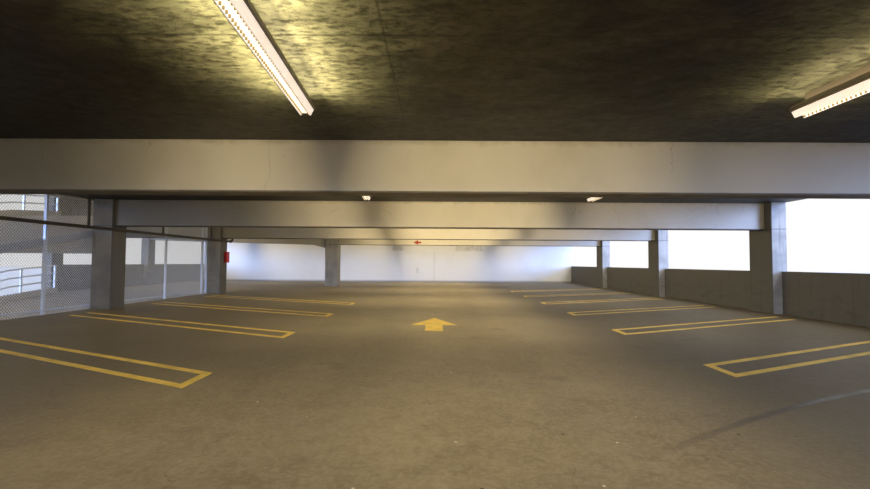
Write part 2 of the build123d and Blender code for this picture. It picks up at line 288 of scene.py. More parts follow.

# Darkening at the sides of the hall: painted shade, with soot on the ceiling and dirt on the floor. X where
# it starts and where it is whole, and its share at both
CEILING_SOOT_AND_SHADE = (1.4, -0.2, 0.0, 0.85)
FLOOR_LEFT_DIRT_AND_SHADE = (2.4, -0.9, 0.0, 0.58)
FLOOR_RIGHT_DIRT_AND_SHADE = (4.3, 6.8, 0.0, 0.72)
BEAM_LEFT_SHADE = (1.0, -2.0, 0.0, 0.78)
BEAM_RIGHT_SHADE = (5.4, 8.2, 0.0, 0.52)

# Marks on the end wall: middle across and over the floor, and half the width and the height
DARK_PATCHES_UNDER_BEAM = (((0.7, 2.2), (0.3, 0.12)), ((5.3, 2.2), (0.8, 0.12)))
WALL_SCRAPES = (((3.04, 1.0), (0.012, 1.0)), ((1.95, 0.75), (0.04, 0.16)))

# The skid of a tyre that turned off the aisle: part of a circle
SKID_CENTRE = (13.0, -20.4, 0.0)
SKID_RADIUS = 14.05

# Sheets of form ply, and where their first seams lie
PLY = 1.22
PLY_START = (0.4, FRAMES[1] + 0.64)


# Patterns

SMOOTH = {"interpolation_type": "SMOOTHSTEP"}
COLOUR = {"data_type": "RGBA"}
TIMES = {"operation": "MULTIPLY"}


def fill(socket, value):
    """Sets a socket, or links it to the given output or to the first output in use of the given node."""
    if isinstance(value, bpy.types.Node):
        value = next(output for output in value.outputs if output.enabled)
    if isinstance(value, bpy.types.NodeSocket):
        socket.id_data.links.new(value, socket)
    else:
        socket.default_value = value


def add(tree, kind, *values, named=None, **settings):
    """Adds one shader node with its settings, and fills its inputs in order or by name."""
    node = tree.nodes.new("ShaderNode" + kind)
    for name, value in settings.items():
        setattr(node, name, value)
    for socket, value in zip([socket for socket in node.inputs if socket.enabled], values):
        fill(socket, value)
    for name, value in (named or {}).items():
        fill(node.inputs[name], value)
    return node


def per(millimetres):
    """The scale of a pattern whose grains or clouds are this far apart."""
    return 1000 / millimetres


def new_material(name, roughness, metallic=0.0):
    """A material, its nodes, its shader, and the place in metres that its patterns follow."""
    material = bpy.data.materials.new(name)
    material.use_nodes = True
    tree = material.node_tree
    shader = tree.nodes["Principled BSDF"]
    shader.inputs["Roughness"].default_value = roughness
    shader.inputs["Metallic"].default_value = metallic
    return material, tree, shader, add(tree, "TexCoord").outputs["Object"]


def looks_along(tree, axis):
    """Which way a face looks: 1 along an axis, -1 against it."""
    normal = add(tree, "TexCoord").outputs["Normal"]
    return add(tree, "SeparateXYZ", normal).outputs[axis]


def away_from(tree, place, line):
    """How far a place on an axis is from a line across it, on either side."""
    off = add(tree, "Math", place, line, operation="SUBTRACT")
    return add(tree, "Math", off, operation="ABSOLUTE")


def clouds(tree, place, size, detail, roughness, start, whole, least=0.0, most=1.0):
    """Clouds or specks of a size in millimetres: from the least to the most, between two noise levels."""
    noise = add(tree, "TexNoise", place, per(size), detail, roughness)
    return add(tree, "MapRange", noise, start, whole, least, most, **SMOOTH)


def stained(tree, colour, *stains):
    """A colour under stains that are laid on in order, each with its share and its own colour."""
    for share, stain in stains:
        colour = add(tree, "Mix", share, colour, stain, **COLOUR)
    return colour


def fine_relief(tree, shader, place, size, detail, roughness, strength, depth):
    """Gives a surface a fine relief: its size in millimetres, and its depth in metres."""
    grain = add(tree, "TexNoise", place, per(size), detail, roughness)
    fill(shader.inputs["Normal"], add(tree, "Bump", strength, depth, named={"Height": grain}))


def pits(tree, place, spacing, size, share):
    """Round air holes or specks: 1 in a hole, in a share of the cells, with both lengths in metres."""
    cells = add(tree, "TexVoronoi", place, 1 / spacing)
    hole = add(tree, "MapRange", cells, size / spacing, 0.5 * size / spacing, **SMOOTH)
    kept = add(tree, "Math", cells.outputs["Color"], share, operation="LESS_THAN")
    return add(tree, "Math", hole, kept, **TIMES)


def joint_lines(tree, distance, pitch, offset, width):
    """Lines across an axis: 1 on a line, at every pitch from the offset, in metres."""
    shifted = add(tree, "Math", distance, offset - pitch / 2, operation="SUBTRACT")
    wrapped = add(tree, "Math", shifted, pitch, operation="FLOORED_MODULO")
    return add(tree, "MapRange", away_from(tree, wrapped, pitch / 2), width, 0.3 * width, **SMOOTH)


def hairline_cracks(tree, place, spacing, spread, share):
    """Hairline cracks, drawn wide enough to show, in more places with the spread, as dark as the share."""
    wander = add(tree, "TexNoise", place, per(400), 6.0, 0.6)
    bent = add(tree, "VectorMath", wander.outputs["Color"], (0.35,) * 3, place, operation="MULTIPLY_ADD")
    cells = add(tree, "TexVoronoi", bent, 1 / spacing, feature="DISTANCE_TO_EDGE")
    crack = add(tree, "MapRange", cells, 0.005 / spacing, 0.002 / spacing, **SMOOTH)
    where = clouds(tree, place, 1700, 2.0, 0.5, 0.6 - 0.2 * spread, 0.64 - 0.2 * spread)
    crack = add(tree, "Math", crack, where, **TIMES)
    return add(tree, "Math", crack, share, **TIMES)


def height_over_floor(tree, axes):
    """How high a place is over the floor of its own storey."""
    height = add(tree, "Math", axes["Z"], FLOOR["level_1"], operation="SUBTRACT")
    return add(tree, "Math", height, STOREY, operation="FLOORED_MODULO")


def patch(tree, across, height, middle, half, border):
    """A soft oblong patch on a wall: 1 inside, and fading out over its border, all in metres."""
    beside = add(tree, "Math", away_from(tree, across, middle[0]), half[0], operation="SUBTRACT")
    above = add(tree, "Math", away_from(tree, height, middle[1]), half[1], operation="SUBTRACT")
    outside = add(tree, "Math", beside, above, operation="MAXIMUM")
    return add(tree, "MapRange", outside, border, 0.0, **SMOOTH)


# Materials


def formed_soffit(tree, place, axes, finishes):
    """Colour of a slab's underside: ply formed concrete, sooted, and painted light beside the strip lights.
    """
    squeezed = add(tree, "VectorMath", place, (1.0, 2.0, 1.0), **TIMES)
    streaks = add(tree, "TexNoise", squeezed, per(500), 10.0, 0.74)
    cloud = add(tree, "TexNoise", place, per(1800), 4.0, 0.6)
    mottle = add(tree, "Math", streaks, cloud, operation="ADD")
    share = add(tree, "MapRange", mottle, 0.94, 1.18, **SMOOTH)
    colour = stained(tree, finishes.soffit_dark, (share, finishes.soffit_light))
    patchy_glow = add(tree, "MapRange", streaks, 0.3, 0.64, 0.25, 1.0)
    # Painted light: a glow on the underside beside each row of strip lights, patchy along the streaks
    for start, end in LIGHT_ROWS:
        lean = (end.x - start.x) / (end.y - start.y)
        across = add(tree, "VectorMath", place, (1.0, -lean, 0.0), operation="DOT_PRODUCT")
        away = away_from(tree, across.outputs["Value"], start.x - lean * start.y)
        near = add(tree, "MapRange", away, 1.5, 0.1, **SMOOTH)
        near = add(tree, "Math", near, patchy_glow, **TIMES)
        colour = stained(tree, colour, (near, finishes.soffit_lamp_glow))
    # Painted shade: the underside is darker along each beam, in the corner where the slab meets it
    corners = joint_lines(tree, axes["Y"], BAY, FRAMES[1], 1.7)
    colour = stained(
        tree,
        colour,
        # Soot and painted shade over the ramp side stalls
        (add(tree, "MapRange", axes["X"], *CEILING_SOOT_AND_SHADE, **SMOOTH), finishes.soffit_dark),
        (clouds(tree, squeezed, 90, 6.0, 0.7, 0.44, 0.64, 0.0, 0.75), finishes.soffit_dark),
        (add(tree, "Math", corners, 0.6, **TIMES), finishes.soffit_dark),
    )
    across = joint_lines(tree, axes["Y"], PLY, PLY_START[1], 0.02)
    along = joint_lines(tree, axes["X"], 2 * PLY, PLY_START[0], 0.015)
    seams = add(tree, "Math", across, along, operation="MAXIMUM")
    seams = add(tree, "Math", seams, 0.5, **TIMES)
    cracks = hairline_cracks(tree, place, 0.9, 0.7, 0.6)
    lines = add(tree, "Math", seams, cracks, operation="MAXIMUM")
    return stained(tree, colour, (lines, FORM_SEAM))


def worn_floor(tree, place, axes, finishes, blotch, mottle):
    """Colour of a driven floor: clouds, fine grit, oil, specks, cracks, and dirt and painted shade at the
    stalls.
    """
    share = add(tree, "Math", mottle, 0.6, **TIMES)
    share = add(tree, "Math", blotch, 0.4, share, operation="MULTIPLY_ADD")
    share = add(tree, "MapRange", share, 0.24, 0.76, **SMOOTH)
    # Dirt and painted shade over the stalls at both sides of the hall
    left = add(tree, "MapRange", axes["X"], *FLOOR_LEFT_DIRT_AND_SHADE, **SMOOTH)
    right = add(tree, "MapRange", axes["X"], *FLOOR_RIGHT_DIRT_AND_SHADE, **SMOOTH)
    return stained(
        tree,
        finishes.deck_dark,
        (share, finishes.deck_light),
        (clouds(tree, place, 35, 3.0, 0.7, 0.42, 0.62, 0.0, 0.3), PALE_GRIT),
        (clouds(tree, place, 600, 4.0, 0.55, 0.6, 0.74, 0.0, 0.25), OIL),
        (pits(tree, place, 0.3, 0.014, 0.5), PALE_SPECK),
        (pits(tree, place, 0.23, 0.017, 0.45), DARK_SPECK),
        (hairline_cracks(tree, place, 2.6, 0.5, 0.35), DARK_SPECK),
        (add(tree, "Math", left, right, operation="ADD"), STALL_DIRT_AND_SHADE),
    )


def tyre_marks(tree, place, axes):
    """Where rubber darkens and polishes the aisle: two straight tracks, and one skid that turns off."""
    drawn = add(tree, "VectorMath", place, (1.0, 0.2, 1.0), **TIMES)
    worn = clouds(tree, drawn, 900, 5.0, 0.55, 0.35, 0.75)
    flat = add(tree, "CombineXYZ", axes["X"], axes["Y"], 0.0)
    reach = add(tree, "VectorMath", flat, SKID_CENTRE, operation="DISTANCE")
    away = away_from(tree, reach.outputs["Value"], SKID_RADIUS)
    skid = add(tree, "MapRange", away, 0.05, 0.02, **SMOOTH)
    start = add(tree, "MapRange", axes["X"], 4.4, 6.6, 0.0, 1.6)
    end = add(tree, "MapRange", axes["X"], 9.0, 7.8, **SMOOTH)
    length = add(tree, "Math", start, end, **TIMES)
    marks = add(tree, "Math", skid, length, **TIMES)
    for side in (-0.5, 0.5):
        away = away_from(tree, axes["X"], AISLE_MIDDLE + side * TYRE_TRACK)
        track = add(tree, "MapRange", away, 0.8, 0.1, 0.0, 0.5, **SMOOTH)
        track = add(tree, "Math", track, worn, **TIMES)
        marks = add(tree, "Math", marks, track, operation="MAXIMUM")
    return marks


def trowelled_concrete(name, finishes, driven=True):
    """Concrete, power trowelled and driven on.

    The eye sees a warm grey floor, softly clouded from curing, darker and slicker where tyres run, with fine
    grit, small pale and dark specks and hairline cracks. The underside keeps the mark of ply formwork.
    """
    material, tree, shader, place = new_material(name, 0.5)
    axes = add(tree, "SeparateXYZ", place).outputs
    blotch = add(tree, "TexNoise", place, per(1600), 6.0, 0.6)
    mottle = add(tree, "TexNoise", place, per(160), 8.0, 0.7)
    top = worn_floor(tree, place, axes, finishes, blotch, mottle)
    looks = looks_along(tree, "Z")
    up = add(tree, "MapRange", looks, 0.3, 0.7, **SMOOTH)
    down = add(tree, "MapRange", looks, -0.3, -0.7, **SMOOTH)
    rough = add(tree, "MapRange", mottle, 0.3, 0.7, 0.48, 0.64)
    if driven:
        marks = add(tree, "Math", tyre_marks(tree, place, axes), up, **TIMES)
        top = stained(tree, top, (add(tree, "Math", marks, 0.5, **TIMES), RUBBER))
        polish = add(tree, "Math", marks, 0.12, **TIMES)
        rough = add(tree, "Math", rough, polish, operation="SUBTRACT")
    fill(shader.inputs["Roughness"], rough)
    edge = stained(tree, finishes.column, (mottle, finishes.parapet))
    under = formed_soffit(tree, place, axes, finishes)
    fill(shader.inputs["Base Color"], stained(tree, edge, (up, top), (down, under)))
    grain = add(tree, "TexNoise", place, per(20), 4.0, 0.6)
    forms = add(tree, "TexNoise", place, per(350), 6.0, 0.62)
    relief = add(tree, "Math", down, 40.0, **TIMES)
    height = add(tree, "Math", forms, relief, grain, operation="MULTIPLY_ADD")
    fill(shader.inputs["Normal"], add(tree, "Bump", 0.4, 0.001, named={"Height": height}))
    return material


def painted_cast_concrete(name, paint, grime, soot, holes):
    """Masonry paint over cast concrete, brushed and rolled.

    The eye sees an even, dull, pale coat with soft clouds, a few air holes under it, a darker top under the
    slab that is grime and painted shade, and an underside that is darker with soot and painted shade.
    """
    material, tree, shader, place = new_material(name, 0.62)
    axes = add(tree, "SeparateXYZ", place).outputs
    height = height_over_floor(tree, axes)
    rubbed = add(tree, "TexNoise", place, per(250), 6.0, 0.65)
    top = add(tree, "Math", rubbed, 0.22, height, operation="MULTIPLY_ADD")
    down = add(tree, "MapRange", looks_along(tree, "Z"), -0.3, -0.8, **SMOOTH)
    streaks = add(tree, "MapRange", rubbed, 0.35, 0.65, 0.0, 0.4)
    colour = stained(
        tree,
        paint,
        (clouds(tree, place, 1500, 5.0, 0.58, 0.44, 0.78, 0.0, 0.3), grime),
        # Grime and painted shade toward the top, where the beam meets the slab
        (add(tree, "MapRange", top, CEILING + 0.03, CEILING + 0.13, 0.0, 0.55, **SMOOTH), grime),
        (add(tree, "MapRange", rubbed, 0.68, 0.76, 0.0, 0.2, **SMOOTH), SCUFF),
        (pits(tree, place, holes, 0.011, 0.4), PAINT_CRACK),
        # Soot and painted shade on the underside
        (down, stained(tree, soot, (streaks, grime))),
    )
    fine_relief(tree, shader, place, 50, 5.0, 0.6, 0.4, 0.002)
    return material, tree, shader, place, axes, colour


def painted_beams(finishes):
    """The beams' paint, with painted shade at both sides of the hall, and hairline cracks."""
    material, tree, shader, place, axes, colour = painted_cast_concrete(
        "painted_beam_concrete", finishes.beam_paint, finishes.beam_grime, finishes.beam_underside_soot_and_shade, 0.4
    )
    colour = stained(
        tree,
        colour,
        # Painted shade toward both ends of the beams
        (add(tree, "MapRange", axes["X"], *BEAM_LEFT_SHADE, **SMOOTH), BEAM_LEFT_SHADE_COLOUR),
        (hairline_cracks(tree, place, 1.3, 0.3, 0.35), PAINT_CRACK),
        (add(tree, "MapRange", axes["X"], *BEAM_RIGHT_SHADE, **SMOOTH), BEAM_RIGHT_SHADE_COLOUR),
    )
    fill(shader.inputs["Base Color"], colour)
    return material


def painted_wall(finishes):
    """The end wall's paint, with dirt on its foot, two dark patches under the last beam, and scrapes."""
    material, tree, shader, place, axes, colour = painted_cast_concrete(
        "painted_wall_concrete", finishes.wall_paint, finishes.wall_grime, finishes.wall_grime, 0.6
    )
    height = height_over_floor(tree, axes)
    splash = add(tree, "MapRange", height, 0.16, 0.0, 0.0, 0.7, **SMOOTH)
    colour = stained(tree, colour, (splash, SPLASH))
    patchiness = add(tree, "TexNoise", place, per(300), 6.0, 0.65)
    patchiness = add(tree, "MapRange", patchiness, 0.3, 0.6, 0.05, 0.4)
    kinds = ((DARK_PATCHES_UNDER_BEAM, 0.12, patchiness, DARK_PATCH), (WALL_SCRAPES, 0.03, 0.22, SPLASH))
    for spots, border, share, stain in kinds:
        for middle, half in spots:
            spot = patch(tree, axes["X"], height, middle, half, border)
            spot = add(tree, "Math", spot, share, **TIMES)
            colour = stained(tree, colour, (spot, stain))
    fill(shader.inputs["Base Color"], colour)
    return material


def bare_cast_concrete(name, tone, shaded):
    """Concrete as it came from ply formwork, never painted.

    The eye sees a dull grey with lighter and darker clouds, runs of rain and soot, air holes, a day joint at
    the beams' underside and, lower down, rubs of rubber and paint. Faces toward the aisle are darker: this
    is painted shade.
    """
    material, tree, shader, place = new_material(name, 0.78)
    axes = add(tree, "SeparateXYZ", place).outputs
    height = height_over_floor(tree, axes)
    # Painted shade: faces that look toward the aisle are darker
    aisle_facing_shade = add(tree, "Math", looks_along(tree, "X"), axes["X"], **TIMES)
    aisle_facing_shade = add(tree, "MapRange", aisle_facing_shade, -0.5, -4.0, **SMOOTH)
    tall = add(tree, "VectorMath", place, (1.0, 1.0, 0.1), **TIMES)
    flat = add(tree, "VectorMath", place, (1.0, 1.0, 3.0), **TIMES)
    rub = clouds(tree, flat, 500, 6.0, 0.7, 0.5, 0.72, 0.0, 0.35)
    low = add(tree, "MapRange", height, 1.0, 0.5, **SMOOTH)
    joint = add(tree, "MapRange", away_from(tree, height, SOFFIT), 0.014, 0.005, 0.0, 0.7, **SMOOTH)
    colour = stained(
        tree,
        tone,
        (aisle_facing_shade, shaded),
        (clouds(tree, place, 700, 7.0, 0.62, 0.3, 0.7, 0.0, 0.5), CEMENT_CLOUD),
        (clouds(tree, tall, 140, 5.0, 0.6, 0.52, 0.72, 0.0, 0.4), RAIN_RUN),
        (pits(tree, place, 0.13, 0.009, 0.5), AIR_HOLE),
        (joint, AIR_HOLE),
        (add(tree, "Math", rub, low, **TIMES), BUMPER_RUB),
    )
    fill(shader.inputs["Base Color"], colour)
    fine_relief(tree, shader, place, 30, 6.0, 0.65, 0.6, 0.003)
    return material


def galvanised_steel(name, zinc):
    """Steel, dipped in hot zinc.

    The eye sees a pale grey metal in leaf shaped spangles that each shine differently, dulled by weather.
    """
    material, tree, shader, place = new_material(name, 0.4, metallic=0.4)
    cells = add(tree, "TexVoronoi", place, per(18))
    tone = add(tree, "MapRange", cells.outputs["Color"], 0.2, 0.8, 0.0, 0.5)
    bloom = clouds(tree, place, 500, 5.0, 0.6, 0.5, 0.7, 0.0, 0.5)
    fill(shader.inputs["Base Color"], stained(tree, zinc, (tone, SPANGLE), (bloom, ZINC_BLOOM)))
    fill(shader.inputs["Roughness"], add(tree, "MapRange", tone, 0.0, 0.5, 0.34, 0.54))
    return material


def enamelled_steel(name, enamel, roughness, dust):
    """Sheet steel with baked enamel.

    The eye sees a smooth even coat with a soft shine, and dust and small rust spots where it has aged.
    """
    material, tree, shader, place = new_material(name, roughness)
    cloud = add(tree, "TexNoise", place, per(350), 6.0, 0.65)
    share = add(tree, "MapRange", cloud, 0.45, 0.7, 0.0, dust, **SMOOTH)
    spots = pits(tree, place, 0.09, 0.005, 0.3)
    fill(shader.inputs["Base Color"], stained(tree, enamel, (share, DUST), (spots, RUST)))
    fill(shader.inputs["Roughness"], add(tree, "MapRange", cloud, 0.3, 0.7, roughness, roughness + 0.2))
    fine_relief(tree, shader, place, 12, 3.0, 0.5, 0.3, 0.0004)
    return material


def lit_acrylic(name, glow, strength):
    """Prismatic acrylic, extruded, and lit from inside by a fluorescent tube.

    The eye sees an even warm white under the tube and beside it, and amber in the ribs.
    """
    material, tree, shader, place = new_material(name, 0.3)
    shader.inputs["IOR"].default_value = 1.49
    shader.inputs["Emission Strength"].default_value = strength
    haze = clouds(tree, place, 120, 4.0, 0.5, 0.4, 0.7, 0.0, 0.12)
    colour = stained(tree, glow, (haze, AMBER))
    fill(shader.inputs["Base Color"], colour)
    fill(shader.inputs["Emission Color"], colour)
    material.cycles.emission_sampling = "NONE"
    return material


def road_paint(name, paint, finishes):
    """Traffic paint, sprayed on concrete and worn by tyres.

    The eye sees a strong dull colour that is chipped to the concrete in places and greyed by rubber.
    """
    material, tree, shader, place = new_material(name, 0.6)
    dirt = clouds(tree, place, 350, 6.0, 0.65, 0.4, 0.75, 0.05, 0.5)
    chips = clouds(tree, place, 70, 6.0, 0.75, 0.58, 0.64, 0.0, 0.85)
    where = clouds(tree, place, 900, 3.0, 0.5, 0.35, 0.6)
    chips = add(tree, "Math", chips, where, **TIMES)
    colour = stained(tree, paint, (dirt, LINE_DIRT), (chips, finishes.deck_light))
    fill(shader.inputs["Base Color"], colour)
    fine_relief(tree, shader, place, 15, 4.0, 0.6, 0.5, 0.001)
    return material


def dress(material, slot, *nodes):
    """Gives CAD nodes a material in place of their plain one."""
    for node in nodes:
        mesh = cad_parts[node].data
        mesh.materials.clear()
        mesh.materials.append(material)


# Meshes


def prism(bm, outline, low, high):
    """A flat plate with the given outline, from one height to another."""
    bottom = [bm.verts.new((x, y, low)) for x, y in outline]
    top = [bm.verts.new((x, y, high)) for x, y in outline]
    faces = [bm.faces.new(bottom), bm.faces.new(top)]
    for i, first in enumerate(bottom):
        after = (i + 1) % len(outline)
        faces.append(bm.faces.new((first, bottom[after], top[after], top[i])))
    bmesh.ops.recalc_face_normals(bm, faces=faces)


def put(name, data):
    """Puts an object with the given data in the scene."""
    made = bpy.data.objects.new(name, data)
    bpy.context.scene.collection.objects.link(made)
    return made


def put_mesh(name, bm):
    """Puts a mesh in the scene once its shape is done."""
    mesh = bpy.data.meshes.new(name)
    bm.to_mesh(mesh)
    bm.free()
    return put(name, mesh)


def piece(made, *materials, slot=None):
    """Makes an object a piece of the building, with its materials."""
    for material in materials:
        made.data.materials.append(material)
    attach(made, "root")
    return made


def hairpin(sizes, start, end, middle):
    """Outline of one stall mark: a closed end at the aisle and two slanted lines."""
    way = 1 if end > start else -1
    slant = math.tan(sizes.stall_angle)
    across = sizes.line_width / math.sin(sizes.stall_angle)
    reach = abs(end - start) / slant
    inner = start + way * sizes.line_width
    step = sizes.line_width / slant
    near = middle - sizes.hairpin_width / 2
    far = middle + sizes.hairpin_width / 2
    return [
        (start, near),
        (end, near + reach),
        (end, near + across + reach),
        (inner, near + across + step),
        (inner, far - across + step),
        (end, far - across + reach),
        (end, far + reach),
        (start, far),
    ]


def arrow(length, width, stem, tip, way):
    """Outline of a straight arrow that ends at its tip and points the given way."""
    ahead = Vector(way)
    side = Vector((ahead.y, -ahead.x))
    head = 0.6 * length
    marks = [(0, 0), (head, width / 2), (head, stem / 2), (length, stem / 2)]
    half = [Vector(tip) - ahead * back + side * out for back, out in marks]
    other = [Vector(tip) - ahead * back - side * out for back, out in reversed(marks[1:])]
    return [tuple(point) for point in half + other]


# Operators


class CARPARK_OT_decks(bpy.types.Operator):
    """Finish the decks, the ground slab and the ramps"""

    bl_idname = "car_park.decks"
    bl_label = "Decks and ramps"

    def execute(self, context):
        finishes = context.scene.car_park_finishes
        deck = trowelled_concrete("power_trowelled_concrete", finishes)
        ramp = trowelled_concrete("broomed_ramp_concrete", finishes, driven=False)
        for level in UPPER_DECKS:
            dress(deck, "deck_concrete", f"{level}_deck", f"{level}_crossovers")
            dress(ramp, "ramp_concrete", f"ramp_to_{level}")
        dress(deck, "ground_concrete", "ground_slab")
        return {"FINISHED"}


class CARPARK_OT_beams(bpy.types.Operator):
    """Paint the beams"""

    bl_idname = "car_park.beams"
    bl_label = "Beams"

    def execute(self, context):
        paint = painted_beams(context.scene.car_park_finishes)
        dress(paint, "painted_concrete", "turning_beams", "ramp_beams")
        dress(paint, "painted_concrete", *(f"{level}_beams" for level in UPPER_DECKS))
        return {"FINISHED"}


class CARPARK_OT_columns(bpy.types.Operator):
    """Finish the columns and the piers"""

    bl_idname = "car_park.columns"
    bl_label = "Columns and piers"

    def execute(self, context):
        finishes = context.scene.car_park_finishes
        # The piers' lighter tone is partly painted daylight
        washed = bare_cast_concrete("pier_concrete_with_painted_daylight", finishes.pier, finishes.shaded)
        bare = bare_cast_concrete("formed_column_concrete", finishes.column, finishes.shaded)
        for level in STOREYS:
            dress(bare, "column_concrete", f"{level}_aisle_columns")
            dress(washed, "column_concrete", f"{level}_facade_piers")
        dress(bare, "column_concrete", "ramp_columns")
        return {"FINISHED"}


class CARPARK_OT_walls(bpy.types.Operator):
    """Paint the end wall and finish the parapets"""

    bl_idname = "car_park.walls"
    bl_label = "End wall and parapets"

    def execute(self, context):
        finishes = context.scene.car_park_finishes
        dress(painted_wall(finishes), "wall_paint", "end_wall")
        parapet = bare_cast_concrete("weathered_parapet_concrete", finishes.parapet, finishes.shaded)
        dress(parapet, "parapet_concrete", *(f"{level}_parapets" for level in STOREYS))
        dress(parapet, "parapet_concrete", "roof_side_parapets", "roof_cross_parapets")
        return {"FINISHED"}


class CARPARK_OT_steel(bpy.types.Operator):
    """Galvanise the fences and rails, and hang the chain link on the fences"""

    bl_idname = "car_park.steel"
    bl_label = "Fences and rails"

    def execute(self, context):
        sizes = context.scene.car_park_fence
        zinc = galvanised_steel("hot_dip_galvanised_steel", sizes.zinc)
        dress(zinc, "galvanised_steel", "ramp_rails", *(f"{level}_fence" for level in STOREYS))
        crossing = [box_of(solid) for solid in solids_of("ramp_beams")]
        for level in STOREYS:
            self.hang(level, sizes, zinc, crossing)
        return {"FINISHED"}

    def hang(self, level, sizes, material, crossing):
        """Hangs one storey's chain link on the hall side of the posts, cut out round the ramp beams."""
        low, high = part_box(f"{level}_fence")
        rise = high.z - low.z
        pitch = sizes.mesh_size * math.sqrt(2)
        beams = [beam for beam in crossing if beam[0].z < high.z and beam[1].z > low.z]
        corners, faces = [], []
        for lean in (1, -1):
            x = high.x + sizes.wire * (1 + lean / 2)
            for i in range(math.ceil((high.y - low.y + rise) / pitch)):
                foot = low.y + i * pitch - (rise if lean > 0 else 0)
                first, last = self.heights(foot, lean, low.y, high.y)
                first, last = max(0.0, first), min(rise, last)
                # A stub in a corner of the fence is left out
                spans = [(first, last)] if last - first >= pitch / 4 else []
                for beam in beams:
                    parts = (self.clear_of(beam, span, foot, lean, low.z) for span in spans)
                    spans = [part for group in parts for part in group]
                for span in spans:
                    self.wire(corners, faces, Vector((x, foot, low.z)), lean, span, sizes.wire / 2)
        name = f"{level}_chain_link"
        mesh = bpy.data.meshes.new(name)
        mesh.from_pydata(corners, [], faces)
        piece(put(name, mesh), material, slot="galvanised_steel")

    def heights(self, foot, lean, near, far):
        """Between which heights a slanted wire runs from the near to the far Y."""
        return (near - foot, far - foot) if lean > 0 else (foot - far, foot - near)

    def clear_of(self, beam, span, foot, lean, bottom):
        """What is left of a slanted wire outside a beam that passes through the fence."""
        low, high = beam
        first, last = span
        enter, leave = self.heights(foot, lean, low.y, high.y)
        enter = max(low.z - bottom, enter)
        leave = min(high.z - bottom, leave)
        if enter >= leave or leave <= first or enter >= last:
            return [span]
        return [part for part in ((first, enter), (leave, last)) if part[1] - part[0] > 0.01]

    def wire(self, corners, faces, foot, lean, span, half):
        """A straight three sided wire, between two heights over its foot."""
        start = len(corners)
        for height in span:
            x, y, z = foot + Vector((0, lean * height, height))
            corners.append((x + half, y, z))
            corners.append((x - half, y - half, z + lean * half))
            corners.append((x - half, y + half, z - lean * half))
        for i in range(3):
            j = (i + 1) % 3
            faces.append((start + i, start + j, start + 3 + j, start + 3 + i))


